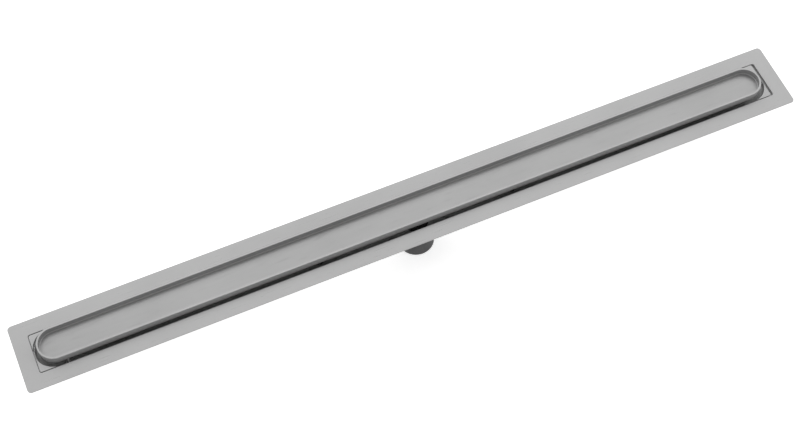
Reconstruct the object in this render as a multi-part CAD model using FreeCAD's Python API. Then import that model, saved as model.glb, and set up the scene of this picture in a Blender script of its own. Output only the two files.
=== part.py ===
import FreeCAD, Part

import math
import os

# Linear shower drain with a tile-in tray, a steel flange and trough, and a vertical outlet.
# Millimetres, +X along the drain, +Z up. The origin is the centre of the outlet's lower end.

# Overall
INSTALL_DEPTH = 80.0
FLANGE_LENGTH = 1100.0
FLANGE_BORDER = 21.6

# Flange plate
FLANGE_SHEET = 1.5
FLANGE_CORNER_RADIUS = 4.0
WINDOW_CORNER_RADIUS = 3.0
WINDOW_EDGE_ROUND = 0.4
SHELF_DEPTH = 5.0

# Corner plates, which round off the window's corners beside the tray
CORNER_SHEET = 1.5
CORNER_ROUND = 2.5
CORNER_SIDE_CLEARANCE = 0.85
CORNER_END_CLEARANCE = 2.3

# Trough
TROUGH_SHEET = 1.5
TROUGH_SIDE_CLEARANCE = 0.4
TROUGH_END_CLEARANCE = 1.9
SHELF_LAP = 8.0
SHELF_CORNER_RADIUS = 8.0
SHELF_EDGE_ROUND = 1.0
END_WALL_DEPTH = 10.0
END_RAMP_RUN = 20.0
END_FLOOR_DEPTH = 18.0
SUMP_DEPTH = 28.0
SUMP_END_MARGIN = 10.0
TROUGH_BEND_RADIUS = 3.0
RAMP_BEND_RADIUS = 40.0
SUMP_BEND_RADIUS = 300.0

# Tile tray
TRAY_SHEET = 2.0
TRAY_HEIGHT = 12.0
TRAY_RISE = 0.5
TRAY_SIDE_GAP = 5.0
TRAY_END_GAP = 6.0
TRAY_SHIFT = -1.5
TRAY_FOOT_ROUND = 0.6
TRAY_WELD_ROUND = 1.0
TRAY_LIP_ROUND = 0.8

# Bridges welded under the tray
BRIDGE_COUNT = 4
BRIDGE_END_MARGIN = 100.5
BRIDGE_SIDE_MARGIN = 5.0
BRIDGE_SHEET = 1.5
BRIDGE_FOOT = 8.0
BRIDGE_WEB = 24.0
BRIDGE_DROP = 7.0
BRIDGE_BEND_RADIUS = 1.0

# Levelling screws with lock nuts and rubber pads
SCREW_SPREAD = 12.0
SCREW_RADIUS = 2.0
SCREW_TOP_CLEARANCE = 1.5
SCREW_HEAD_WIDTH = 7.0
SCREW_HEAD_HEIGHT = 2.8
SCREW_CHAMFER = 0.5
LOCK_NUT_HEIGHT = 2.7
PAD_RADIUS = 5.4
PAD_BASE = 2.0
PAD_SOCKET_DEPTH = 1.5
PAD_CHAMFER = 0.6

# Locating pins under the tray's opposite corners
PIN_RADIUS = 1.4
PIN_END_MARGIN = 32.0
PIN_SIDE_MARGIN = 4.6

# Outlet body
SPIGOT_RADIUS = 25.0
SPIGOT_WALL = 2.6
SPIGOT_CHAMFER = 1.5
OUTLET_FLANGE_MARGIN = 4.0
OUTLET_FLANGE_THICK = 6.0
OUTLET_FLANGE_CORNER = 12.0
OUTLET_RIB_THICK = 3.0
COLLAR_WALL = 1.5
COLLAR_LAP = 1.0
GASKET_THICK = 2.0
BOSS_RADIUS = 5.0
BOSS_DROP = 6.0
FIXING_FROM_SPIGOT = 15.0
FIXING_END_MARGIN = 10.0
FIXING_SIDE_MARGIN = 15.0
FIXING_RADIUS = 2.0
FIXING_HEAD_RADIUS = 4.0
FIXING_HEAD_HEIGHT = 2.4
FIXING_HEAD_CHAMFER = 0.8
FIXING_LENGTH = 16.0
FIXING_SLOT_WIDTH = 1.0
FIXING_SLOT_DEPTH = 1.0

# Odour trap
TRAP_WALL = 1.6
TRAP_LIP_LAP = 2.0
TRAP_LIP_THICK = 2.0
TRAP_DEPTH = 44.0
TRAP_TUBE_RADIUS = 10.5
TRAP_TUBE_HEIGHT = 24.0
TRAP_SEAL_DROP = 10.0
RING_SECTION_RADIUS = 1.0
RING_GROOVE_DEPTH = 1.2
BELL_SIDE_GAP = 3.7
BELL_WALL = 1.5
BELL_HEADROOM = 5.0
BELL_FOOT_GAP = 5.0
BELL_FIN_THICK = 1.4
BELL_KNOB_RADIUS = 3.0
BELL_KNOB_HEIGHT = 4.0
BELL_KNOB_WAIST = 1.0

# Hair strainer and the steel ring that carries it
STRAINER_RING_SHEET = 0.8
STRAINER_WALL = 1.2
STRAINER_RIM_THICK = 0.7
STRAINER_RIM_LAP = 1.8
STRAINER_MOUTH_RADIUS = 15.0
STRAINER_BASE_RADIUS = 12.6
STRAINER_DEPTH = 9.5
STRAINER_HOLE_RADIUS = 1.4
STRAINER_RINGS = 2
STRAINER_RING_PITCH = 4.4
STRAINER_HOLES_PER_RING = 6
STRAINER_SIDE_SLOTS = 12
STRAINER_SLOT_WIDTH = 2.0

# Fits
THREAD_CLEARANCE = 0.1
SOCKET_CLEARANCE = 0.2
TRAP_CLEARANCE = 0.6
LIP_CLEARANCE = 0.3
SUMP_FLAT_MARGIN = 0.3
SEAT_GAP = 0.2

# Outlet and trap, worked out from the spigot outwards
UP = FreeCAD.Vector(0, 0, 1)
SPIGOT_BORE = SPIGOT_RADIUS - SPIGOT_WALL
TRAP_RADIUS = SPIGOT_BORE - TRAP_CLEARANCE
TRAP_INNER = TRAP_RADIUS - TRAP_WALL
TRAP_LIP_RADIUS = SPIGOT_BORE + TRAP_LIP_LAP
OUTLET_HOLE_RADIUS = TRAP_LIP_RADIUS + LIP_CLEARANCE
BELL_RADIUS = TRAP_INNER - BELL_SIDE_GAP
FIXING_X = SPIGOT_RADIUS + FIXING_FROM_SPIGOT
OUTLET_FLANGE_LENGTH = 2 * (FIXING_X + FIXING_END_MARGIN)
OUTLET_FLANGE_WIDTH = 2 * (SPIGOT_RADIUS + OUTLET_FLANGE_MARGIN)
FIXING_Y = OUTLET_FLANGE_WIDTH / 2 - FIXING_SIDE_MARGIN

# Plan sizes: the trough is as wide as the outlet's hole needs, and the window as the trough needs
TROUGH_WIDTH = 2 * (OUTLET_HOLE_RADIUS + SUMP_FLAT_MARGIN + TROUGH_BEND_RADIUS)
WINDOW_WIDTH = TROUGH_WIDTH + 2 * TROUGH_SIDE_CLEARANCE
WINDOW_LENGTH = FLANGE_LENGTH - 2 * FLANGE_BORDER
FLANGE_WIDTH = WINDOW_WIDTH + 2 * FLANGE_BORDER
TROUGH_LENGTH = WINDOW_LENGTH - 2 * TROUGH_END_CLEARANCE
SUMP_LENGTH = OUTLET_FLANGE_LENGTH + 2 * SUMP_END_MARGIN
TRAY_LENGTH = TROUGH_LENGTH - 2 * TRAY_END_GAP
TRAY_WIDTH = TROUGH_WIDTH - 2 * TRAY_SIDE_GAP
BRIDGE_WIDTH = TRAY_WIDTH - 2 * BRIDGE_SIDE_MARGIN

# Levels
FLANGE_TOP = INSTALL_DEPTH
SHELF_TOP = FLANGE_TOP - SHELF_DEPTH
SUMP_FLOOR = FLANGE_TOP - SUMP_DEPTH
SUMP_UNDERSIDE = SUMP_FLOOR - TROUGH_SHEET
GASKET_UNDERSIDE = SUMP_UNDERSIDE - GASKET_THICK
TRAY_UNDERSIDE = FLANGE_TOP + TRAY_RISE
TRAP_LIP_TOP = GASKET_UNDERSIDE + TRAP_LIP_THICK
STRAINER_RING_TOP = TRAP_LIP_TOP + STRAINER_RING_SHEET
TRAP_BOTTOM = TRAP_LIP_TOP - TRAP_DEPTH


def point(x, y, z):
    return FreeCAD.Vector(x, y, z)


def oblong(length, width, corner, bottom, top, shift=0.0):
    """Upright prism whose plan is a rectangle with rounded corners, or a stadium at the limit."""
    half_length = length / 2
    half_width = width / 2
    straight_x = half_length - corner
    straight_y = half_width - corner
    diagonal = corner * math.sqrt(0.5)
    edges = []
    corners = ((1, -1), (1, 1), (-1, 1), (-1, -1))
    for index, (side_x, side_y) in enumerate(corners):
        across = point(shift + side_x * straight_x, side_y * half_width, bottom)
        along = point(shift + side_x * half_length, side_y * straight_y, bottom)
        middle = point(
            shift + side_x * (straight_x + diagonal),
            side_y * (straight_y + diagonal),
            bottom,
        )
        first, last = (across, along) if index % 2 == 0 else (along, across)
        edges.append(Part.Arc(first, middle, last).toShape())
    loop = []
    for index, arc in enumerate(edges):
        loop.append(arc)
        start = arc.lastVertex().Point
        end = edges[(index + 1) % len(edges)].firstVertex().Point
        if start.distanceToPoint(end) > 1e-6:
            loop.append(Part.makeLine(start, end))
    face = Part.Face(Part.Wire(Part.__sortEdges__(loop)))
    return face.extrude(UP * (top - bottom))


def stadium(length, width, bottom, top, shift=0.0):
    """Upright prism with straight sides and half-round ends."""
    return oblong(length, width, width / 2, bottom, top, shift)


def disc(radius, bottom, top, x=0.0, y=0.0):
    return Part.makeCylinder(radius, top - bottom, point(x, y, bottom))


def hexagon(width, bottom, top, x, y):
    """Upright hexagonal prism, given its width across the flats."""
    radius = width / math.sqrt(3)
    corners = []
    for step in range(7):
        angle = math.radians(60 * step + 30)
        corners.append(point(x + radius * math.cos(angle), y + radius * math.sin(angle), bottom))
    return Part.Face(Part.makePolygon(corners)).extrude(UP * (top - bottom))


def revolved(outline):
    """Solid of revolution about the outlet's axis, from (radius, height) points."""
    corners = [point(radius, 0, height) for radius, height in outline]
    face = Part.Face(Part.makePolygon(corners + corners[:1]))
    return face.revolve(point(0, 0, 0), UP, 360)


def level_edges(shape, height, keep=lambda edge: True):
    """Edges that lie wholly at one height."""
    found = []
    for edge in shape.Edges:
        box = edge.BoundBox
        if abs(box.ZMin - height) < 1e-4 and abs(box.ZMax - height) < 1e-4 and keep(edge):
            found.append(edge)
    return found


def rounded(shape, radius, edges):
    """The shape with a fillet on the given edges."""
    return shape.makeFillet(radius, edges)


# Flange plate: a flat steel frame with a short collar welded under its window's edge.


def flange_plate():
    plate = oblong(
        FLANGE_LENGTH,
        FLANGE_WIDTH,
        FLANGE_CORNER_RADIUS,
        FLANGE_TOP - FLANGE_SHEET,
        FLANGE_TOP,
    )
    collar = oblong(
        WINDOW_LENGTH + 2 * FLANGE_SHEET,
        WINDOW_WIDTH + 2 * FLANGE_SHEET,
        WINDOW_CORNER_RADIUS + FLANGE_SHEET,
        SHELF_TOP,
        FLANGE_TOP,
    )
    window = oblong(WINDOW_LENGTH, WINDOW_WIDTH, WINDOW_CORNER_RADIUS, SHELF_TOP, FLANGE_TOP)
    frame = plate.fuse(collar).cut(window).removeSplitter()
    inner = FLANGE_WIDTH / 2 - FLANGE_BORDER / 2

    def at_window(edge):
        return edge.BoundBox.YMax < inner and edge.BoundBox.YMin > -inner

    return rounded(frame, WINDOW_EDGE_ROUND, level_edges(frame, FLANGE_TOP, at_window))


# Corner plates: four folded pieces on the shelf, flush with the flange and cut to the tray's round ends.


def corner_plates():
    """The four plates, each with its two outer edges folded down to the shelf."""
    length = WINDOW_LENGTH - 2 * CORNER_END_CLEARANCE
    width = WINDOW_WIDTH - 2 * CORNER_SIDE_CLEARANCE
    cover = oblong(length, width, CORNER_ROUND, SHELF_TOP, FLANGE_TOP, TRAY_SHIFT)
    hollow = oblong(
        length - 2 * CORNER_SHEET,
        width - 2 * CORNER_SHEET,
        CORNER_ROUND - CORNER_SHEET,
        SHELF_TOP,
        FLANGE_TOP - CORNER_SHEET,
        TRAY_SHIFT,
    )
    growth = WINDOW_WIDTH - TROUGH_WIDTH
    opening = stadium(TROUGH_LENGTH + growth, WINDOW_WIDTH, SHELF_TOP, FLANGE_TOP, TRAY_SHIFT)
    plates = cover.cut(hollow).cut(opening).Solids
    return sorted(plates, key=lambda plate: (plate.CenterOfMass.x > 0, plate.CenterOfMass.y > 0))


# Trough: one pressed sheet with a flat shelf, steep end ramps and a floor that falls to the outlet.


def trough_half_line(drop):
    """Corners (x, z) of the floor line from the sump up to the shelf's edge, lowered by drop."""
    end = TROUGH_LENGTH / 2
    foot = end - END_RAMP_RUN
    foot_height = FLANGE_TOP - END_FLOOR_DEPTH
    end_height = FLANGE_TOP - END_WALL_DEPTH
    rise = (end_height - foot_height) / END_RAMP_RUN
    return [
        (SUMP_LENGTH / 2, SUMP_FLOOR - drop),
        (foot, foot_height - drop),
        (end + SHELF_LAP, end_height + rise * SHELF_LAP - drop),
    ]


def bent_line(corners, radii):
    """Edges through the corners, with a tangent arc of the given radius at each inner one."""
    edges = []
    start = corners[0]
    for before, corner, after, radius in zip(corners, corners[1:], corners[2:], radii):
        into = (corner - before).normalize()
        out = (after - corner).normalize()
        turn = into.getAngle(out)
        setback = radius * math.tan(turn / 2)
        inward = (out - into).normalize()
        middle = corner + inward * (radius / math.cos(turn / 2) - radius)
        arc_start = corner - into * setback
        arc_end = corner + out * setback
        edges.append(Part.makeLine(start, arc_start))
        edges.append(Part.Arc(arc_start, middle, arc_end).toShape())
        start = arc_end
    edges.append(Part.makeLine(start, corners[-1]))
    return edges


def above_floor(drop):
    """Everything over the trough's floor line, as wide as the flange."""
    half = trough_half_line(drop)
    line = [(-x, z) for x, z in reversed(half)] + half
    side = -FLANGE_WIDTH / 2
    corners = [point(x, side, z) for x, z in line]
    radii = (RAMP_BEND_RADIUS, SUMP_BEND_RADIUS, SUMP_BEND_RADIUS, RAMP_BEND_RADIUS)
    edges = bent_line(corners, radii)
    right_top = point(corners[-1].x, side, FLANGE_TOP)
    left_top = point(corners[0].x, side, FLANGE_TOP)
    edges.append(Part.makeLine(corners[-1], right_top))
    edges.append(Part.makeLine(right_top, left_top))
    edges.append(Part.makeLine(left_top, corners[0]))
    face = Part.Face(Part.Wire(Part.__sortEdges__(edges)))
    return face.extrude(point(0, FLANGE_WIDTH, 0))


def floor_height(x):
    """Height of the trough's inner floor at a place along the drain."""
    line = trough_half_line(0.0)
    distance = abs(x)
    if distance <= line[0][0]:
        return line[0][1]
    for (near_x, near_z), (far_x, far_z) in zip(line, line[1:]):
        if distance <= far_x:
            return near_z + (far_z - near_z) * (distance - near_x) / (far_x - near_x)
    return line[-1][1]


def trough_bowl(width_growth, drop, bend):
    """Stadium-shaped bowl over the floor line, rounded where its wall meets the floor."""
    bowl = stadium(
        TROUGH_LENGTH + width_growth,
        TROUGH_WIDTH + width_growth,
        SUMP_FLOOR - drop,
        SHELF_TOP,
    ).common(above_floor(drop))
    wall_foot = []
    for edge in bowl.Edges:
        box = edge.BoundBox
        upright = box.ZLength > 0.9 * edge.Length
        crease = box.YLength > 0.9 * edge.Length and box.XLength < 0.1
        if box.ZMax < SHELF_TOP - 1e-3 and not upright and not crease:
            wall_foot.append(edge)
    return rounded(bowl, bend, wall_foot)


def trough_shell():
    """The trough without its outlet and fixing holes."""
    shelf = oblong(
        WINDOW_LENGTH + 2 * SHELF_LAP,
        WINDOW_WIDTH + 2 * SHELF_LAP,
        SHELF_CORNER_RADIUS,
        SHELF_TOP - TROUGH_SHEET,
        SHELF_TOP,
    )
    outside = trough_bowl(2 * TROUGH_SHEET, TROUGH_SHEET, TROUGH_BEND_RADIUS + TROUGH_SHEET)
    inside = trough_bowl(0.0, 0.0, TROUGH_BEND_RADIUS)
    shell = shelf.fuse(outside).cut(inside).removeSplitter()

    def at_mouth(edge):
        return abs(edge.BoundBox.YMax) < TROUGH_WIDTH / 2 + 1e-3

    return rounded(shell, SHELF_EDGE_ROUND, level_edges(shell, SHELF_TOP, at_mouth))


def fixing_places():
    """Plan positions of the four screws that hold the outlet body."""
    places = []
    for side_x in (-1, 1):
        for side_y in (-1, 1):
            places.append((side_x * FIXING_X, side_y * FIXING_Y))
    return places


def channel_trough():
    shell = trough_shell()
    shell = shell.cut(disc(OUTLET_HOLE_RADIUS, SUMP_UNDERSIDE, SUMP_FLOOR))
    for x, y in fixing_places():
        hole = disc(FIXING_RADIUS + THREAD_CLEARANCE, SUMP_UNDERSIDE, SUMP_FLOOR, x, y)
        shell = shell.cut(hole)
    return shell


# Tile tray: a flat bar bent to a stadium round a welded floor, standing proud of the flange.


def tile_tray():
    outside = stadium(
        TRAY_LENGTH, TRAY_WIDTH, TRAY_UNDERSIDE, TRAY_UNDERSIDE + TRAY_HEIGHT, TRAY_SHIFT
    )
    outside = rounded(outside, TRAY_FOOT_ROUND, level_edges(outside, TRAY_UNDERSIDE))
    inside = stadium(
        TRAY_LENGTH - 2 * TRAY_SHEET,
        TRAY_WIDTH - 2 * TRAY_SHEET,
        TRAY_UNDERSIDE + TRAY_SHEET,
        TRAY_UNDERSIDE + TRAY_HEIGHT,
        TRAY_SHIFT,
    )
    floor_edges = level_edges(inside, TRAY_UNDERSIDE + TRAY_SHEET)
    inside = rounded(inside, TRAY_WELD_ROUND, floor_edges)
    pan = outside.cut(inside)
    return rounded(pan, TRAY_LIP_ROUND, level_edges(pan, TRAY_UNDERSIDE + TRAY_HEIGHT))


# Bridges: hat-section strips welded under the tray, which carry the levelling screws.


def bridge_places():
    first = TRAY_SHIFT - TRAY_LENGTH / 2 + BRIDGE_END_MARGIN
    pitch = (TRAY_LENGTH - 2 * BRIDGE_END_MARGIN) / (BRIDGE_COUNT - 1)
    return [first + pitch * index for index in range(BRIDGE_COUNT)]


def screw_places():
    places = []
    for x in bridge_places():
        places.append((x, -SCREW_SPREAD / 2))
        places.append((x, SCREW_SPREAD / 2))
    return places


def web_underside():
    return TRAY_UNDERSIDE - BRIDGE_DROP


def tray_bridge(x):
    """Hat section: two feet against the tray, two legs, and a web with a threaded hole each side."""
    top = TRAY_UNDERSIDE
    web_top = web_underside() + BRIDGE_SHEET
    half_web = BRIDGE_WEB / 2
    half_gap = half_web - BRIDGE_SHEET
    half_all = half_web + BRIDGE_FOOT
    right = [
        (half_gap, web_top),
        (half_gap, top),
        (half_all, top),
        (half_all, top - BRIDGE_SHEET),
        (half_web, top - BRIDGE_SHEET),
        (half_web, web_underside()),
    ]
    left = [(-step_x, z) for step_x, z in reversed(right)]
    corners = [point(x + step_x, -BRIDGE_WIDTH / 2, z) for step_x, z in right + left]
    strip = Part.Face(Part.makePolygon(corners + corners[:1]))
    strip = strip.extrude(point(0, BRIDGE_WIDTH, 0))
    bends = []
    for edge in strip.Edges:
        box = edge.BoundBox
        along_width = box.YLength > BRIDGE_WIDTH - 1e-3
        offset = abs(box.XMin - x)
        at_web = abs(box.ZMin - web_underside()) < 1e-3 and abs(offset - half_web) < 1e-3
        at_foot = abs(box.ZMin - top) < 1e-3 and abs(offset - half_gap) < 1e-3
        if along_width and (at_web or at_foot):
            bends.append(edge)
    strip = rounded(strip, BRIDGE_BEND_RADIUS, bends)
    for y in (-SCREW_SPREAD / 2, SCREW_SPREAD / 2):
        strip = strip.cut(disc(SCREW_RADIUS + THREAD_CLEARANCE, web_underside(), web_top, x, y))
    return strip


# Levelling screws stand head down on rubber pads, each held by a lock nut under the web.


def pad_seat(x):
    """Lowest level that a pad's base reaches on the sloping floor."""
    return floor_height(abs(x) - PAD_RADIUS)


def head_bottom(x):
    return floor_height(abs(x) + PAD_RADIUS) + PAD_BASE


def levelling_screw(x, y):
    bottom = head_bottom(x)
    top = TRAY_UNDERSIDE - SCREW_TOP_CLEARANCE
    head = hexagon(SCREW_HEAD_WIDTH, bottom, bottom + SCREW_HEAD_HEIGHT, x, y)
    shank = disc(SCREW_RADIUS, bottom, top, x, y)
    shank = shank.makeChamfer(SCREW_CHAMFER, level_edges(shank, top))
    return head.fuse(shank)


def lock_nut(x, y):
    top = web_underside()
    nut = hexagon(SCREW_HEAD_WIDTH, top - LOCK_NUT_HEIGHT, top, x, y)
    bore = disc(SCREW_RADIUS + THREAD_CLEARANCE, top - LOCK_NUT_HEIGHT, top, x, y)
    return nut.cut(bore)


def foot_pad(x, y):
    """Rubber cup under a screw head, its base cut to the floor's fall."""
    top = head_bottom(x) + PAD_SOCKET_DEPTH
    body = disc(PAD_RADIUS, pad_seat(x), top, x, y)
    body = body.makeChamfer(PAD_CHAMFER, level_edges(body, top))
    socket_radius = SCREW_HEAD_WIDTH / math.sqrt(3) + SOCKET_CLEARANCE
    body = body.cut(disc(socket_radius, head_bottom(x), top, x, y))
    return body.common(above_floor(0.0))


# Locating pins under two opposite corners keep the slot even.


def locating_pin(side):
    x = TRAY_SHIFT + side * (TRAY_LENGTH / 2 - PIN_END_MARGIN)
    y = side * (TRAY_WIDTH / 2 - PIN_SIDE_MARGIN)
    foot = floor_height(abs(x) + PIN_RADIUS) + SEAT_GAP
    return disc(PIN_RADIUS, foot, TRAY_UNDERSIDE, x, y)


# Outlet: a moulded body screwed up under the trough, with a gasket between.


def outlet_outline(bottom, top):
    return oblong(OUTLET_FLANGE_LENGTH, OUTLET_FLANGE_WIDTH, OUTLET_FLANGE_CORNER, bottom, top)


def outlet_gasket():
    gasket = outlet_outline(GASKET_UNDERSIDE, SUMP_UNDERSIDE)
    gasket = gasket.cut(disc(OUTLET_HOLE_RADIUS, GASKET_UNDERSIDE, SUMP_UNDERSIDE))
    for x, y in fixing_places():
        hole = disc(FIXING_RADIUS + THREAD_CLEARANCE, GASKET_UNDERSIDE, SUMP_UNDERSIDE, x, y)
        gasket = gasket.cut(hole)
    return gasket


def outlet_body():
    """Flange, ribbed screw bosses and a spigot whose collar stops the pipe's socket."""
    flange_bottom = GASKET_UNDERSIDE - OUTLET_FLANGE_THICK
    body = outlet_outline(flange_bottom, GASKET_UNDERSIDE)
    spigot = disc(SPIGOT_RADIUS, 0.0, GASKET_UNDERSIDE)
    body = body.fuse(spigot.makeChamfer(SPIGOT_CHAMFER, level_edges(spigot, 0.0)))
    rib_bottom = flange_bottom - BOSS_DROP
    body = body.fuse(disc(SPIGOT_RADIUS + COLLAR_WALL, rib_bottom - COLLAR_LAP, flange_bottom))
    for x, y in fixing_places():
        body = body.fuse(disc(BOSS_RADIUS, rib_bottom, flange_bottom, x, y))
        length = abs(x)
        start = min(0.0, x)
        corner = point(start, y - OUTLET_RIB_THICK / 2, rib_bottom)
        body = body.fuse(Part.makeBox(length, OUTLET_RIB_THICK, BOSS_DROP, corner))
    body = body.cut(disc(SPIGOT_BORE, 0.0, GASKET_UNDERSIDE))
    depth = FIXING_LENGTH + SEAT_GAP
    for x, y in fixing_places():
        hole = disc(FIXING_RADIUS + THREAD_CLEARANCE, SUMP_FLOOR - depth, GASKET_UNDERSIDE, x, y)
        body = body.cut(hole)
    return body.removeSplitter()


def outlet_screw(x, y):
    """Pan-head screw from inside the trough, slotted."""
    top = SUMP_FLOOR + FIXING_HEAD_HEIGHT
    head = disc(FIXING_HEAD_RADIUS, SUMP_FLOOR, top, x, y)
    head = head.makeChamfer(FIXING_HEAD_CHAMFER, level_edges(head, top))
    corner = point(x - FIXING_HEAD_RADIUS, y - FIXING_SLOT_WIDTH / 2, top - FIXING_SLOT_DEPTH)
    slot = Part.makeBox(2 * FIXING_HEAD_RADIUS, FIXING_SLOT_WIDTH, FIXING_SLOT_DEPTH, corner)
    shank = disc(FIXING_RADIUS, SUMP_FLOOR - FIXING_LENGTH, SUMP_FLOOR, x, y)
    shank = shank.makeChamfer(SCREW_CHAMFER, level_edges(shank, SUMP_FLOOR - FIXING_LENGTH))
    return head.cut(slot).fuse(shank)


# Odour trap: a cup hung in the outlet's mouth, sealed by a ring, with an overflow tube under a bell.


def trap_cup():
    tube_inner = TRAP_TUBE_RADIUS - TRAP_WALL
    tube_top = TRAP_BOTTOM + TRAP_TUBE_HEIGHT
    cup = revolved(
        [
            (tube_inner, TRAP_BOTTOM),
            (TRAP_RADIUS, TRAP_BOTTOM),
            (TRAP_RADIUS, GASKET_UNDERSIDE),
            (TRAP_LIP_RADIUS, GASKET_UNDERSIDE),
            (TRAP_LIP_RADIUS, TRAP_LIP_TOP),
            (TRAP_INNER, TRAP_LIP_TOP),
            (TRAP_INNER, TRAP_BOTTOM + TRAP_WALL),
            (TRAP_TUBE_RADIUS, TRAP_BOTTOM + TRAP_WALL),
            (TRAP_TUBE_RADIUS, tube_top),
            (tube_inner, tube_top),
        ]
    )
    return cup.cut(ring_groove())


def ring_level():
    return GASKET_UNDERSIDE - TRAP_SEAL_DROP


def ring_groove():
    """Square groove round the cup for the sealing ring."""
    half = RING_SECTION_RADIUS + SEAT_GAP / 2
    floor = TRAP_RADIUS - RING_GROOVE_DEPTH
    return revolved(
        [
            (floor, ring_level() - half),
            (SPIGOT_BORE, ring_level() - half),
            (SPIGOT_BORE, ring_level() + half),
            (floor, ring_level() + half),
        ]
    )


def trap_ring():
    """Sealing ring, squeezed flat against the bore to the width that the groove leaves."""
    groove_floor = TRAP_RADIUS - RING_GROOVE_DEPTH
    inner = groove_floor + SEAT_GAP / 4
    outer = SPIGOT_BORE - SEAT_GAP / 4
    low = ring_level() - RING_SECTION_RADIUS
    high = ring_level() + RING_SECTION_RADIUS
    corner = (outer - inner) / 3
    return revolved(
        [
            (inner + corner, low),
            (outer - corner, low),
            (outer, low + corner),
            (outer, high - corner),
            (outer - corner, high),
            (inner + corner, high),
            (inner, high - corner),
            (inner, low + corner),
        ]
    )


def trap_bell():
    """Inverted cup over the overflow tube, carried on its rim by four fins."""
    tube_top = TRAP_BOTTOM + TRAP_TUBE_HEIGHT
    ceiling = tube_top + BELL_HEADROOM
    top = ceiling + BELL_WALL
    foot = TRAP_BOTTOM + TRAP_WALL + BELL_FOOT_GAP
    inner = BELL_RADIUS - BELL_WALL
    bell = revolved(
        [
            (0.0, ceiling),
            (inner, ceiling),
            (inner, foot),
            (BELL_RADIUS, foot),
            (BELL_RADIUS, top - BELL_WALL),
            (BELL_RADIUS - BELL_WALL, top),
            (BELL_KNOB_RADIUS, top),
            (BELL_KNOB_RADIUS - BELL_KNOB_WAIST, top + BELL_KNOB_HEIGHT / 2),
            (BELL_KNOB_RADIUS, top + BELL_KNOB_HEIGHT),
            (0.0, top + BELL_KNOB_HEIGHT),
        ]
    )
    half = BELL_FIN_THICK / 2
    tube_hold = TRAP_TUBE_RADIUS + SOCKET_CLEARANCE
    fin_foot = foot + BELL_FOOT_GAP
    for turn in range(4):
        above = Part.makeBox(inner, BELL_FIN_THICK, BELL_HEADROOM, point(0, -half, tube_top))
        beside = Part.makeBox(
            inner - tube_hold + half, BELL_FIN_THICK, tube_top - fin_foot, point(tube_hold, -half, fin_foot)
        )
        for fin in (above, beside):
            fin.rotate(point(0, 0, 0), UP, 90 * turn)
            bell = bell.fuse(fin)
    return bell.removeSplitter()


# Hair strainer: a moulded basket hung in a flat steel ring that covers the trap's lip.


def strainer_ring():
    mouth = STRAINER_MOUTH_RADIUS + SOCKET_CLEARANCE
    ring = disc(TRAP_LIP_RADIUS, TRAP_LIP_TOP, STRAINER_RING_TOP)
    return ring.cut(disc(mouth, TRAP_LIP_TOP, STRAINER_RING_TOP))


def hair_strainer():
    rim_top = STRAINER_RING_TOP + STRAINER_RIM_THICK
    base_bottom = STRAINER_RING_TOP - STRAINER_DEPTH
    base_top = base_bottom + STRAINER_WALL
    basket = revolved(
        [
            (0.0, base_bottom),
            (STRAINER_BASE_RADIUS, base_bottom),
            (STRAINER_MOUTH_RADIUS, STRAINER_RING_TOP),
            (STRAINER_MOUTH_RADIUS + STRAINER_RIM_LAP, STRAINER_RING_TOP),
            (STRAINER_MOUTH_RADIUS + STRAINER_RIM_LAP, rim_top),
            (STRAINER_MOUTH_RADIUS - STRAINER_WALL, rim_top),
            (STRAINER_BASE_RADIUS - STRAINER_WALL, base_top),
            (0.0, base_top),
        ]
    )
    cutters = [disc(STRAINER_HOLE_RADIUS, base_bottom, base_top)]
    for ring in range(1, STRAINER_RINGS + 1):
        count = STRAINER_HOLES_PER_RING * ring
        for step in range(count):
            angle = 2 * math.pi * step / count
            x = ring * STRAINER_RING_PITCH * math.cos(angle)
            y = ring * STRAINER_RING_PITCH * math.sin(angle)
            cutters.append(disc(STRAINER_HOLE_RADIUS, base_bottom, base_top, x, y))
    slot_bottom = base_top + STRAINER_WALL
    slot_height = STRAINER_RING_TOP - STRAINER_WALL - slot_bottom
    for step in range(STRAINER_SIDE_SLOTS):
        corner = point(0, -STRAINER_SLOT_WIDTH / 2, slot_bottom)
        slot = Part.makeBox(STRAINER_MOUTH_RADIUS, STRAINER_SLOT_WIDTH, slot_height, corner)
        slot.rotate(point(0, 0, 0), UP, 360 * step / STRAINER_SIDE_SLOTS)
        cutters.append(slot)
    return basket.cut(cutters)


def group(shapes):
    return Part.makeCompound(shapes)


def save(name, shape):
    shape.exportStep(os.path.join("parts", name + ".step"))


def main():
    os.makedirs("parts", exist_ok=True)
    save("flange_plate", flange_plate())
    save("channel_trough", channel_trough())
    for index, plate in enumerate(corner_plates(), start=1):
        save("corner_plate_%d" % index, plate)
    save("tile_tray", tile_tray())
    for index, x in enumerate(bridge_places(), start=1):
        save("tray_bridge_%d" % index, tray_bridge(x))
    save("levelling_screws", group([levelling_screw(x, y) for x, y in screw_places()]))
    save("lock_nuts", group([lock_nut(x, y) for x, y in screw_places()]))
    for index, (x, y) in enumerate(screw_places(), start=1):
        save("foot_pad_%d" % index, foot_pad(x, y))
    save("locating_pin_left", locating_pin(-1))
    save("locating_pin_right", locating_pin(1))
    save("outlet_gasket", outlet_gasket())
    save("outlet_body", outlet_body())
    save("outlet_screws", group([outlet_screw(x, y) for x, y in fixing_places()]))
    save("trap_cup", trap_cup())
    save("trap_ring", trap_ring())
    save("trap_bell", trap_bell())
    save("strainer_ring", strainer_ring())
    save("hair_strainer", hair_strainer())


main()
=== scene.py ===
import math

import bmesh
import bpy
import numpy as np
from mathutils import Matrix, Vector


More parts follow.
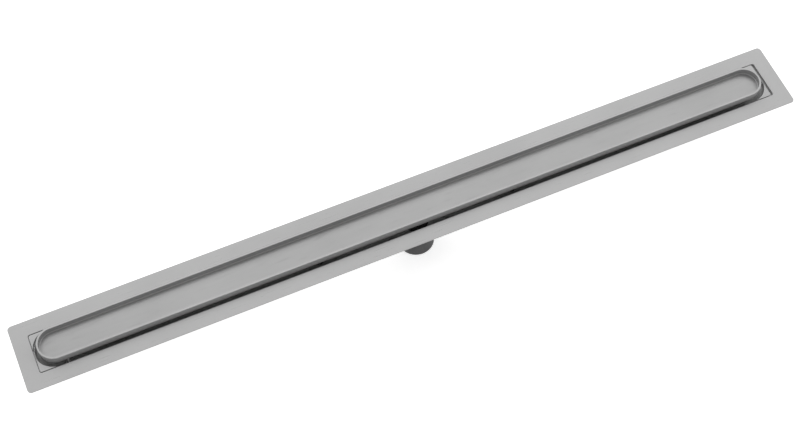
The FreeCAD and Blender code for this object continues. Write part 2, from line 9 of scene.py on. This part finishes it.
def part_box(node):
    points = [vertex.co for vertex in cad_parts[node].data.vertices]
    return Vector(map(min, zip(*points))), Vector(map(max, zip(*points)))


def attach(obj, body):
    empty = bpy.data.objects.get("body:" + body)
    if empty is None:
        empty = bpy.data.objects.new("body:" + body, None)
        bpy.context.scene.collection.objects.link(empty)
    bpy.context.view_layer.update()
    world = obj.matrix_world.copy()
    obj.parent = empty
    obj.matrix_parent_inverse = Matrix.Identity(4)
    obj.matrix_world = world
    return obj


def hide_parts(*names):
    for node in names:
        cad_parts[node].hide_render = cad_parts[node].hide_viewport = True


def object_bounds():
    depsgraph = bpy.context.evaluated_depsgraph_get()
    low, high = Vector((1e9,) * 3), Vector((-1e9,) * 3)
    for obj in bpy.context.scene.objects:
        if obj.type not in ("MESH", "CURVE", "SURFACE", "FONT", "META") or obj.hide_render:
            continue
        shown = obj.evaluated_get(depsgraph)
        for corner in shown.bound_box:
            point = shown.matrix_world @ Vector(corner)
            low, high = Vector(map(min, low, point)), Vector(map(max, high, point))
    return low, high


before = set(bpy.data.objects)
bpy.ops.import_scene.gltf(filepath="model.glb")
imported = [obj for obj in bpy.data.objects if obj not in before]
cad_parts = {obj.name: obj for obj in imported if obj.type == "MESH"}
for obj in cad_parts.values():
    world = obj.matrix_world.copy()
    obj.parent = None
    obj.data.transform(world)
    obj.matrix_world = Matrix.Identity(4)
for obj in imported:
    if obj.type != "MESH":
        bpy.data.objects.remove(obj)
cad_low, cad_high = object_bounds()
MM = 0.001

# Outlet body.
# A dark grey moulded plastic spigot with an oblong flange, ribs and screw bosses, held under the
# trough by four screws. Its skin has the faint mottle and soft sheen of an unpainted moulding.

OUTLET_COLOUR = (0.060, 0.060, 0.061, 1.0)
OUTLET_ROUGHNESS = (0.50, 0.66)
MOULDED_SPECULAR = 0.4
MOTTLE_SCALE = 60
MOTTLE_SHADES = (0.88, 1.12)
GRAIN_BUMP = 0.25
GRAIN_DEPTH = 0.1 * MM
NOISE_MIDDLE = (0.3, 0.7)


def add_node(tree, kind, **settings):
    """A shader node of one kind, with its properties set."""
    node = tree.nodes.new(kind)
    for name, value in settings.items():
        setattr(node, name, value)
    return node


def new_material(name):
    """A material, its node tree and the tree's shader."""
    material = bpy.data.materials.new(name)
    material.use_nodes = True
    return material, material.node_tree, material.node_tree.nodes["Principled BSDF"]


def object_noise(tree, scale, detail, stretch=(1, 1, 1)):
    """Noise read from Object coordinates, each axis multiplied by its stretch first."""
    place = add_node(tree, "ShaderNodeTexCoord")
    mapping = add_node(tree, "ShaderNodeMapping")
    mapping.inputs["Scale"].default_value = stretch
    noise = add_node(tree, "ShaderNodeTexNoise")
    noise.inputs["Scale"].default_value = scale
    noise.inputs["Detail"].default_value = detail
    tree.links.new(place.outputs["Object"], mapping.inputs["Vector"])
    tree.links.new(mapping.outputs["Vector"], noise.inputs["Vector"])
    return noise.outputs["Fac"]


def remapped(tree, value, source, target):
    """The value's place between the source's two ends, carried over to the target's, and held at
    the target's ends outside them."""
    ramp = add_node(tree, "ShaderNodeMapRange")
    ramp.inputs["From Min"].default_value = source[0]
    ramp.inputs["From Max"].default_value = source[1]
    ramp.inputs["To Min"].default_value = target[0]
    ramp.inputs["To Max"].default_value = target[1]
    tree.links.new(value, ramp.inputs["Value"])
    return ramp.outputs["Result"]


def spread(tree, noise, target):
    """The middle of a noise value, where most of it lies, spread over the whole target."""
    return remapped(tree, noise, NOISE_MIDDLE, target)


def multiplied(tree, grey):
    """A node that multiplies the colour at its A input by a grey."""
    mix = add_node(tree, "ShaderNodeMix", data_type="RGBA", blend_type="MULTIPLY")
    mix.inputs["Factor"].default_value = 1.0
    tree.links.new(grey, mix.inputs["B"])
    return mix


def shaded(tree, noise, colour, shades):
    """The colour multiplied by a grey that runs from the dark to the light shade with the noise."""
    mix = multiplied(tree, spread(tree, noise, shades))
    mix.inputs["A"].default_value = colour
    return mix.outputs["Result"]


def bumped(tree, height, shader, strength, depth):
    """Feeds a height to the shader's normal."""
    bump = add_node(tree, "ShaderNodeBump")
    bump.inputs["Strength"].default_value = strength
    bump.inputs["Distance"].default_value = depth
    tree.links.new(height, bump.inputs["Height"])
    tree.links.new(bump.outputs["Normal"], shader.inputs["Normal"])


def moulded(name, colour, roughness, grain):
    """Matte moulding: fine leathery grain in the bump, slow mottle in colour and roughness."""
    material, tree, shader = new_material(name)
    shader.inputs["Specular IOR Level"].default_value = MOULDED_SPECULAR
    mottle = object_noise(tree, scale=MOTTLE_SCALE, detail=3)
    tree.links.new(shaded(tree, mottle, colour, MOTTLE_SHADES), shader.inputs["Base Color"])
    tree.links.new(spread(tree, mottle, roughness), shader.inputs["Roughness"])
    leather = object_noise(tree, scale=grain, detail=2)
    bumped(tree, leather, shader, GRAIN_BUMP, GRAIN_DEPTH)
    return material


def dress(node, material):
    """Gives one CAD node its material."""
    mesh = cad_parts[node].data
    mesh.materials.clear()
    mesh.materials.append(material)


outlet_plastic = moulded("outlet_plastic", OUTLET_COLOUR, OUTLET_ROUGHNESS, grain=2600)
dress("outlet_body", outlet_plastic)

# Gasket.
# A flat black rubber sheet, punched to the outlet flange's outline and squeezed under the trough.

RUBBER_COLOUR = (0.018, 0.018, 0.018, 1.0)
RUBBER_ROUGHNESS = (0.70, 0.88)
RUBBER_GRAIN = 1800
seal_rubber = moulded("seal_rubber", RUBBER_COLOUR, RUBBER_ROUGHNESS, RUBBER_GRAIN)
dress("outlet_gasket", seal_rubber)

# Trough.
# One pressed sheet of stainless steel with a falling floor, left with the mill's even grey skin.
# The rolling marks run along it and the press leaves faint clouds. Its base colour is painted
# darker over the deep bowl as painted shade, and lighter on the shallow end ramps as painted light.

STEEL_COLOUR = (0.377, 0.377, 0.377, 1.0)
STEEL_METALLIC = 0.92
HAIR_DEPTH = 0.05 * MM
CLOUD_SCALE = 9
CLOUD_SHADES = (0.965, 1.035)
SCUFF_STRETCH = (35, 260, 120)
SCUFF_PEAKS = (0.60, 0.72)
SCUFF_ROUGHNESS = 0.10


def scuffed(tree, roughness):
    """Adds handling scuffs to a roughness: only the peaks of a noise drawn out along X count."""
    noise = object_noise(tree, scale=1, detail=5, stretch=SCUFF_STRETCH)
    scuff = remapped(tree, noise, SCUFF_PEAKS, (0.0, SCUFF_ROUGHNESS))
    total = add_node(tree, "ShaderNodeMath", operation="ADD")
    tree.links.new(roughness, total.inputs[0])
    tree.links.new(scuff, total.inputs[1])
    return total.outputs[0]


def satin_steel(name, colour, roughness, along, across, bump, metallic=STEEL_METALLIC):
    """Satin sheet steel: hair-fine lines along X in roughness and bump, slow clouds in the colour,
    and a few scuffs from handling."""
    material, tree, shader = new_material(name)
    shader.inputs["Metallic"].default_value = metallic
    hairs = object_noise(tree, scale=1, detail=4, stretch=(along, across, across))
    clouds = object_noise(tree, scale=CLOUD_SCALE, detail=3)
    tree.links.new(shaded(tree, clouds, colour, CLOUD_SHADES), shader.inputs["Base Color"])
    brushed = spread(tree, hairs, roughness)
    tree.links.new(scuffed(tree, brushed), shader.inputs["Roughness"])
    bumped(tree, hairs, shader, bump, HAIR_DEPTH)
    return material


TROUGH_COLOUR = (0.47, 0.47, 0.47, 1.0)
TROUGH_METALLIC = 0.65
TROUGH_ROUGHNESS = (0.50, 0.62)
trough_steel = satin_steel(
    "trough_steel",
    TROUGH_COLOUR,
    TROUGH_ROUGHNESS,
    along=30,
    across=1500,
    bump=0.15,
    metallic=TROUGH_METALLIC,
)
dress("channel_trough", trough_steel)


def paint_light_to_ends(material, reach, shades):
    """Multiplies the base colour by a grey that runs over the shades while the distance from the
    middle along X runs over the reach."""
    tree = material.node_tree
    base = tree.nodes["Principled BSDF"].inputs["Base Color"]
    place = add_node(tree, "ShaderNodeTexCoord")
    split = add_node(tree, "ShaderNodeSeparateXYZ")
    distance = add_node(tree, "ShaderNodeMath", operation="ABSOLUTE")
    tree.links.new(place.outputs["Object"], split.inputs["Vector"])
    tree.links.new(split.outputs["X"], distance.inputs[0])
    mix = multiplied(tree, remapped(tree, distance.outputs[0], reach, shades))
    tree.links.new(base.links[0].from_socket, mix.inputs["A"])
    tree.links.new(mix.outputs["Result"], base)


# Painted shade darkens the deep bowl and painted light brightens the shallow end ramps.
RAMP_START = 492.0 * MM
RAMP_END = 503.0 * MM
BOWL_PAINTED_SHADE = 0.84
RAMP_PAINTED_LIGHT = 1.2
paint_light_to_ends(trough_steel, (RAMP_START, RAMP_END), (BOWL_PAINTED_SHADE, RAMP_PAINTED_LIGHT))

# Outlet screws.
# Small pan-head screws of plain stainless steel, driven from inside the trough.

SCREW_COLOUR = (0.45, 0.45, 0.45, 1.0)
SCREW_ROUGHNESS = (0.28, 0.42)
screw_steel = satin_steel(
    "screw_steel", SCREW_COLOUR, SCREW_ROUGHNESS, along=600, across=600, bump=0.1
)
dress("outlet_screws", screw_steel)

# Odour trap.
# A moulded cup with an overflow tube, a rubber ring round its neck, and a bell over the tube.

TRAP_COLOUR = (0.12, 0.12, 0.12, 1.0)
TRAP_ROUGHNESS = (0.42, 0.56)
trap_plastic = moulded("trap_plastic", TRAP_COLOUR, TRAP_ROUGHNESS, grain=2200)
dress("trap_cup", trap_plastic)
dress("trap_bell", trap_plastic)
dress("trap_ring", seal_rubber)

# Hair strainer.
# A small moulded basket with round holes and side slots, hung in a flat steel ring that is turned
# to cover the trap's lip. Both lift out by hand.

# The basket is black plastic, and its near-black colour is made darker still as painted shade for
# the deep outlet below.
BASKET_PAINTED_SHADE_COLOUR = (0.030, 0.030, 0.030, 1.0)
BASKET_ROUGHNESS = (0.55, 0.68)
basket_plastic = moulded("basket_plastic", BASKET_PAINTED_SHADE_COLOUR, BASKET_ROUGHNESS, grain=2200)
dress("hair_strainer", basket_plastic)
dress("strainer_ring", trough_steel)

# Flange.
# One flat frame of satin steel sheet, its edges cut and lightly deburred. A short collar is welded
# under the window's edge and stands on the trough's shelf. The tiles' sealing sheet laps over it.

FLANGE_SHEET = 1.5 * MM
FLANGE_CORNER = 5.5 * MM
WINDOW_HALF_LENGTH = 528.4 * MM
WINDOW_HALF_WIDTH = 28.7 * MM
WINDOW_CORNER = 3.0 * MM
WINDOW_ROUND = 0.15 * MM
COLLAR_WELD = 0.8 * MM
EDGE_BREAK = 0.25 * MM
FLAT_HOLD = 0.3 * MM
FLANGE_COLOUR = (0.46, 0.46, 0.46, 1.0)
FLANGE_METALLIC = 0.40
FLANGE_ROUGHNESS = (0.27, 0.35)
CORNER_STEPS = 12
SIDE_STEPS = 24
ARC_STEPS = 5
MERGE_DISTANCE = 1e-7
SHARP_ANGLE = math.radians(35)
flange_low, flange_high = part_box("flange_plate")


def ring(half_x, half_y, corner, height, shift=0.0):
    """One level loop of a rounded rectangle: its four corner centres plus the corner radius turned
    through a quarter each, and evenly spaced points on the long sides between them."""
    turn = np.linspace(0.0, math.pi / 2, CORNER_STEPS + 1)
    stretches = []
    for quarter, (side_x, side_y) in enumerate([(1, 1), (-1, 1), (-1, -1), (1, -1)]):
        angle = turn + quarter * math.pi / 2
        x = side_x * (half_x - corner) + corner * np.cos(angle)
        y = side_y * (half_y - corner) + corner * np.sin(angle)
        stretches.append(np.column_stack([x, y]))
        if quarter in (0, 2):
            run = np.linspace(x[-1], -x[-1], SIDE_STEPS + 1)[1:-1]
            stretches.append(np.column_stack([run, np.full_like(run, y[-1])]))
    flat = np.vstack(stretches)
    return np.column_stack([flat[:, 0] + shift, flat[:, 1], np.full(len(flat), height)])


def new_object(name, data):
    """An object in the scene that holds the data."""
    item = bpy.data.objects.new(name, data)
    bpy.context.scene.collection.objects.link(item)
    return item


def loft(name, rings, closed):
    """Surface through a stack of equal loops: quads between each loop and the next, and from the
    last loop back to the first where the section is closed."""
    points = np.vstack(rings)
    count = len(rings[0])
    rows = len(rings) if closed else len(rings) - 1
    row, column = np.meshgrid(np.arange(rows), np.arange(count), indexing="ij")
    below = row * count
    above = ((row + 1) % len(rings)) * count
    beside = (column + 1) % count
    faces = np.stack([below + column, below + beside, above + beside, above + column], axis=-1)
    mesh = bpy.data.meshes.new(name)
    mesh.from_pydata(points.tolist(), [], faces.reshape(-1, 4).tolist())
    return new_object(name, mesh)


def arc(centre, radius, start, stop):
    """Points (offset, height) on an arc of a section, from start to stop in degrees."""
    angle = np.radians(np.linspace(start, stop, ARC_STEPS + 1))
    return np.column_stack([centre[0] + radius * np.cos(angle), centre[1] + radius * np.sin(angle)])


def finish_piece(piece, material):
    """Merges the doubled points, points the faces outwards, shades and dresses the piece."""
    work = bmesh.new()
    work.from_mesh(piece.data)
    bmesh.ops.remove_doubles(work, verts=work.verts, dist=MERGE_DISTANCE)
    bmesh.ops.recalc_face_normals(work, faces=work.faces)
    work.to_mesh(piece.data)
    work.free()
    piece.data.shade_smooth()
    piece.data.set_sharp_from_angle(angle=SHARP_ANGLE)
    piece.data.materials.append(material)
    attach(piece, "root")
    return piece


def window_ring(offset, height):
    """Loop round the window, moved outwards by the offset."""
    half_x = WINDOW_HALF_LENGTH + offset
    half_y = WINDOW_HALF_WIDTH + offset
    return ring(half_x, half_y, WINDOW_CORNER + offset, height)


def border_ring(inset, height):
    """Loop round the flange's outer edge, moved inwards by the inset."""
    return ring(flange_high.x - inset, flange_high.y - inset, FLANGE_CORNER - inset, height)


flange_top = flange_high.z
flange_under = flange_top - FLANGE_SHEET
window_edge = arc((WINDOW_ROUND, flange_top - WINDOW_ROUND), WINDOW_ROUND, 90, 180)
weld_centre = (FLANGE_SHEET + COLLAR_WELD, flange_under - COLLAR_WELD)
collar_weld = arc(weld_centre, COLLAR_WELD, 180, 90)
flange_rings = [
    *(window_ring(*place) for place in window_edge),
    window_ring(0.0, flange_low.z),
    window_ring(FLANGE_SHEET, flange_low.z),
    *(window_ring(*place) for place in collar_weld),
    window_ring(FLANGE_SHEET + COLLAR_WELD + FLAT_HOLD, flange_under),
    border_ring(EDGE_BREAK, flange_under),
    border_ring(0.0, flange_under + EDGE_BREAK),
    border_ring(0.0, flange_top - EDGE_BREAK),
    border_ring(EDGE_BREAK, flange_top),
    window_ring(WINDOW_ROUND + FLAT_HOLD, flange_top),
]
flange_steel = satin_steel(
    "flange_steel",
    FLANGE_COLOUR,
    FLANGE_ROUGHNESS,
    along=24,
    across=1800,
    bump=0.12,
    metallic=FLANGE_METALLIC,
)
flange = finish_piece(loft("flange_sheet", flange_rings, closed=True), flange_steel)
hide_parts("flange_plate")

# Corner plates.
# Four small folded pieces of the same sheet that stand on the shelf at the window's corners, flush
# with the flange. Their curved sides run round the tray's ends and keep the slot even.

CORNER_PLATES = 4


def numbered(name, count):
    """Names of a row of like nodes: the name with _1 and up."""
    return ["%s_%d" % (name, number) for number in range(1, count + 1)]


for node in numbered("corner_plate", CORNER_PLATES):
    dress(node, flange_steel)

# Tile tray.
# A flat bar bent to a stadium, a little thinner round its ends, and welded round a floor of satin
# sheet that is thicker than the flange's. Its upper edge is eased, and the floor carries the tile's
# adhesive. As in the photograph, the bar stands slightly further out and lower than the CAD's.

TRAY_SHEET = 2.0 * MM
TRAY_WALL = 3.2 * MM
END_THINNING = 0.8 * MM
TRAY_OUTSET = 0.45 * MM
RIM_DROP = 0.5 * MM
TRAY_FOOT = 0.6 * MM
TRAY_WELD = 1.0 * MM
TRAY_LIP = 0.15 * MM
LONG_RUN = 3 * FLAT_HOLD
TRAY_ROUGHNESS = (0.34, 0.44)
tray_low, tray_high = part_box("tile_tray")
tray_middle = (tray_low.x + tray_high.x) / 2
tray_radius = tray_high.y + TRAY_OUTSET
inner_radius = tray_radius - TRAY_WALL
spine = (tray_high.x - tray_low.x) / 2 - tray_radius
rim = tray_high.z - RIM_DROP
floor_top = tray_low.z + TRAY_SHEET


def tray_ring(radius, height):
    """Loop of all the points at one distance from the tray's straight spine. The spine of the
    inner loops is longer at both ends, so that the wall is thinner there."""
    inner = radius < tray_radius - TRAY_WALL / 2
    half_spine = spine + END_THINNING if inner else spine
    return ring(half_spine + radius, radius, radius, height, tray_middle)


def held_flat(profile):
    """Adds a point just inside both ends of each long straight run, so that the smooth shading of
    the rounded edges stops there and the flats between them stay flat."""
    points = [profile[0]]
    for start, end in zip(profile[:-1], profile[1:]):
        length = math.hypot(*(end - start))
        if length > LONG_RUN:
            step = (end - start) * FLAT_HOLD / length
            points += [start + step, end - step]
        points.append(end)
    return points


sections = [
    arc((tray_radius - TRAY_FOOT, tray_low.z + TRAY_FOOT), TRAY_FOOT, -90, 0),
    arc((tray_radius - TRAY_LIP, rim - TRAY_LIP), TRAY_LIP, 0, 90),
    arc((inner_radius + TRAY_LIP, rim - TRAY_LIP), TRAY_LIP, 90, 180),
    arc((inner_radius - TRAY_WELD, floor_top + TRAY_WELD), TRAY_WELD, 0, -90),
]
profile = np.vstack([[(0.0, tray_low.z)], *sections, [(0.0, floor_top)]])
tray_rings = [tray_ring(*place) for place in held_flat(profile)]
tray_steel = satin_steel(
    "tray_steel", STEEL_COLOUR, TRAY_ROUGHNESS, along=20, across=1700, bump=0.12
)
tray = finish_piece(loft("tile_pan", tray_rings, closed=False), tray_steel)
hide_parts("tile_tray")

# The tray's bar.
# Its two upright sides keep the duller, rougher skin of drawn bar, with a lighter base colour that
# is painted light. Its upper edge is ground smoother, and its slightly lighter colour is a painted
# highlight.

# The bar's lighter base colour is painted light on the upright faces, and the lip's slightly
# lighter one is a painted highlight.
BAR_PAINTED_LIGHT_COLOUR = (0.44, 0.44, 0.44, 1.0)
BAR_METALLIC = 0.68
BAR_ROUGHNESS = (0.50, 0.62)
LIP_PAINTED_HIGHLIGHT_COLOUR = (0.385, 0.385, 0.385, 1.0)
LIP_ROUGHNESS = (0.26, 0.34)
UPRIGHT_BELOW = 0.6
SHEET_INDEX = 0
BAR_INDEX = 1
LIP_INDEX = 2
bar_painted_light_steel = satin_steel(
    "bar_painted_light_steel",
    BAR_PAINTED_LIGHT_COLOUR,
    BAR_ROUGHNESS,
    along=20,
    across=1700,
    bump=0.12,
    metallic=BAR_METALLIC,
)
lip_painted_highlight_steel = satin_steel("lip_painted_highlight_steel", LIP_PAINTED_HIGHLIGHT_COLOUR, LIP_ROUGHNESS, along=20, across=2400, bump=0.12)
tray.data.materials.append(bar_painted_light_steel)
tray.data.materials.append(lip_painted_highlight_steel)


def face_values(mesh, name):
    """One vector per face of the mesh, as rows."""
    values = np.empty(3 * len(mesh.polygons))
    mesh.polygons.foreach_get(name, values)
    return values.reshape(-1, 3)


# Upright faces take the bar's painted-light material, and the lip's faces take the painted
# highlight.
upright = np.abs(face_values(tray.data, "normal")[:, 2]) < UPRIGHT_BELOW
lip = face_values(tray.data, "center")[:, 2] > rim - TRAY_LIP
finish_and_painted_light = np.where(lip, LIP_INDEX, np.where(upright, BAR_INDEX, SHEET_INDEX))
tray.data.polygons.foreach_set("material_index", finish_and_painted_light.astype(np.int32))

# Bridges and locating pins.
# Hat-section strips pressed from the trough's sheet and two thin pins, welded under the tray.

BRIDGES = 4
# The pins' near-white, barely metallic colour is painted light: they stand in shade under the tray.
PIN_PAINTED_LIGHT_COLOUR = (0.95, 0.95, 0.95, 1.0)
PIN_METALLIC = 0.1
PIN_ROUGHNESS = (0.40, 0.54)
for node in numbered("tray_bridge", BRIDGES):
    dress(node, trough_steel)
pin_painted_light_steel = satin_steel(
    "pin_painted_light_steel",
    PIN_PAINTED_LIGHT_COLOUR,
    PIN_ROUGHNESS,
    along=500,
    across=500,
    bump=0.1,
    metallic=PIN_METALLIC,
)
dress("locating_pin_left", pin_painted_light_steel)
dress("locating_pin_right", pin_painted_light_steel)

# Levelling screws.
# Hexagon screws of plain stainless steel with a rolled thread along the whole shank. They stand
# head down under the bridges, and turning them sets the tray to the tile's thickness.

THREAD_RADIUS = 2.0 * MM
THREAD_PITCH = 0.7 * MM
THREAD_DEPTH = 0.32 * MM
TIP_BEVEL = 0.5 * MM
HEAD_WIDTH = 7.0 * MM
HEAD_HEIGHT = 2.8 * MM
HEAD_BEVEL = 0.3 * MM
SOCKET_DEPTH = 1.5 * MM
SIXTH = math.pi / 3
TURN_STEPS = 24
PITCH_STEPS = 6
FOOT_PADS = 8


def threaded_screw(x, y, low, high):
    """Stack of level loops for one screw, head down. A loop in the head is a hexagon: half its
    width over the cosine of the angle from the nearest flat's middle. A loop in the shank has the
    thread's radius less a triangle wave of the height in pitches minus the turn, and the tip
    tapers."""
    turn = np.arange(TURN_STEPS) * 2 * math.pi / TURN_STEPS
    point = np.zeros(TURN_STEPS)
    from_flat = (turn + SIXTH / 2) % SIXTH - SIXTH / 2
    hexagon = HEAD_WIDTH / 2 / np.cos(from_flat)
    neck = low + HEAD_HEIGHT
    head = [
        (low, point),
        (low, hexagon - HEAD_BEVEL),
        (low + HEAD_BEVEL, hexagon),
        (neck - HEAD_BEVEL, hexagon),
        (neck, hexagon - HEAD_BEVEL),
    ]
    heights = np.linspace(neck, high, round((high - neck) / THREAD_PITCH * PITCH_STEPS) + 1)
    pitches = heights[:, None] / THREAD_PITCH - turn[None, :] / (2 * math.pi)
    wave = 1 - np.abs(2 * (pitches % 1) - 1)
    taper = THREAD_RADIUS - TIP_BEVEL + high - heights[:, None]
    shank = np.minimum(THREAD_RADIUS - THREAD_DEPTH * wave, taper)
    return [
        np.column_stack(
            [x + radius * np.cos(turn), y + radius * np.sin(turn), np.full_like(turn, height)]
        )
        for height, radius in [*head, *zip(heights, shank), (high, point)]
    ]


def joined(name, pieces):
    """One piece that holds the meshes of several, which it takes over."""
    work = bmesh.new()
    for piece in pieces:
        work.from_mesh(piece.data)
        bpy.data.objects.remove(piece)
    mesh = bpy.data.meshes.new(name)
    work.to_mesh(mesh)
    work.free()
    return new_object(name, mesh)


screw_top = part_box("levelling_screws")[1].z
screws = []
for pad in numbered("foot_pad", FOOT_PADS):
    pad_low, pad_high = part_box(pad)
    centre = (pad_low + pad_high) / 2
    loops = threaded_screw(centre.x, centre.y, pad_high.z - SOCKET_DEPTH, screw_top)
    screws.append(loft("screw_in_" + pad, loops, closed=False))
threaded = finish_piece(joined("threaded_screws", screws), screw_steel)
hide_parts("levelling_screws")

# Lock nuts and foot pads.
# A nut locks each screw under its bridge, and the screw's head stands in a moulded rubber cup.

PAD_COLOUR = (0.055, 0.055, 0.055, 1.0)
dress("lock_nuts", screw_steel)
pad_rubber = moulded("pad_rubber", PAD_COLOUR, RUBBER_ROUGHNESS, RUBBER_GRAIN)
for pad in numbered("foot_pad", FOOT_PADS):
    dress(pad, pad_rubber)

# Floor.
# A plain pale studio floor under the spigot. Straight rays see it a little brighter, up to white,
# and it keeps the drain's soft shadow.

FLOOR_HALF = 30.0
FLOOR_COLOUR = (0.90, 0.90, 0.90, 1.0)
FLOOR_ROUGHNESS = 0.9
FLOOR_LIFT = 0.65
WHITE = (1.0, 1.0, 1.0, 1.0)
floor_mesh = bpy.data.meshes.new("floor")
floor_corners = [(-1, -1), (1, -1), (1, 1), (-1, 1)]
floor_points = [(x * FLOOR_HALF, y * FLOOR_HALF, cad_low.z) for x, y in floor_corners]
floor_mesh.from_pydata(floor_points, [], [(0, 1, 2, 3)])
floor = new_object("floor", floor_mesh)
floor_paint, floor_tree, paint = new_material("floor_paint")
paint.inputs["Base Color"].default_value = FLOOR_COLOUR
paint.inputs["Roughness"].default_value = FLOOR_ROUGHNESS
paint.inputs["Specular IOR Level"].default_value = 0.0
paint.inputs["Emission Color"].default_value = WHITE


def seen_directly(tree):
    """1 for camera, glossy and transmission rays, and 0 for the rest."""
    path = add_node(tree, "ShaderNodeLightPath")
    first = add_node(tree, "ShaderNodeMath", operation="MAXIMUM")
    second = add_node(tree, "ShaderNodeMath", operation="MAXIMUM")
    tree.links.new(path.outputs["Is Camera Ray"], first.inputs[0])
    tree.links.new(path.outputs["Is Glossy Ray"], first.inputs[1])
    tree.links.new(first.outputs[0], second.inputs[0])
    tree.links.new(path.outputs["Is Transmission Ray"], second.inputs[1])
    return second.outputs[0]


lift = add_node(floor_tree, "ShaderNodeMath", operation="MULTIPLY")
lift.inputs[1].default_value = FLOOR_LIFT
floor_tree.links.new(seen_directly(floor_tree), lift.inputs[0])
floor_tree.links.new(lift.outputs[0], paint.inputs["Emission Strength"])
floor_mesh.materials.append(floor_paint)

# Light.
# A white room that is dimmer overhead, and one long soft lamp above the far side. The dimming
# reach is the upward part of the direction seen, from 0 at the horizon to 1 overhead.

HORIZON_STRENGTH = 1.0
ZENITH_STRENGTH = 0.5
DIMMING_REACH = (0.15, 0.5)
LAMP_LENGTH = 7.0
LAMP_WIDTH = 2.6
LAMP_PLACE = Vector((0.6, 1.4, 2.6))
LAMP_POWER = 48.0
world = bpy.data.worlds.new("room")
bpy.context.scene.world = world
world.use_nodes = True
room_tree = world.node_tree
room = room_tree.nodes["Background"]
room.inputs["Color"].default_value = WHITE
direction = add_node(room_tree, "ShaderNodeTexCoord")
upward = add_node(room_tree, "ShaderNodeSeparateXYZ")
room_tree.links.new(direction.outputs["Generated"], upward.inputs["Vector"])
strengths = (HORIZON_STRENGTH, ZENITH_STRENGTH)
dimmed = remapped(room_tree, upward.outputs["Z"], DIMMING_REACH, strengths)
room_tree.links.new(dimmed, room.inputs["Strength"])
lamp_data = bpy.data.lights.new("far_lamp", "AREA")
lamp_data.shape = "RECTANGLE"
lamp_data.size = LAMP_LENGTH
lamp_data.size_y = LAMP_WIDTH
lamp_data.energy = LAMP_POWER
lamp = new_object("far_lamp", lamp_data)
lamp.location = LAMP_PLACE
lamp.rotation_mode = "QUATERNION"
lamp.rotation_quaternion = (-LAMP_PLACE).to_track_quat("-Z", "Y")

# Camera.
# It stands at the photograph's place: left of the middle and well above, tilted a little.

LENS = 70.23
SENSOR_WIDTH = 36.0
CLIP_START = 0.05
CLIP_END = 100.0
AIM = Vector((-25.2 * MM, -6.2 * MM, flange_top))
DISTANCE = 2.0706
AZIMUTH = math.radians(-21.857)
ELEVATION = math.radians(60.296)
ROLL = math.radians(1.505)
level = math.cos(ELEVATION)
back = Vector((math.sin(AZIMUTH) * level, -math.cos(AZIMUTH) * level, math.sin(ELEVATION)))
camera_data = bpy.data.cameras.new("camera")
camera_data.lens = LENS
camera_data.sensor_width = SENSOR_WIDTH
camera_data.clip_start = CLIP_START
camera_data.clip_end = CLIP_END
camera = new_object("camera", camera_data)
camera.location = AIM + back * DISTANCE
camera.rotation_mode = "QUATERNION"
facing = (-back).to_track_quat("-Z", "Y")
camera.rotation_quaternion = facing @ Matrix.Rotation(-ROLL, 3, "Z").to_quaternion()
bpy.context.scene.camera = camera
bpy.context.scene.view_settings.view_transform = "Standard"
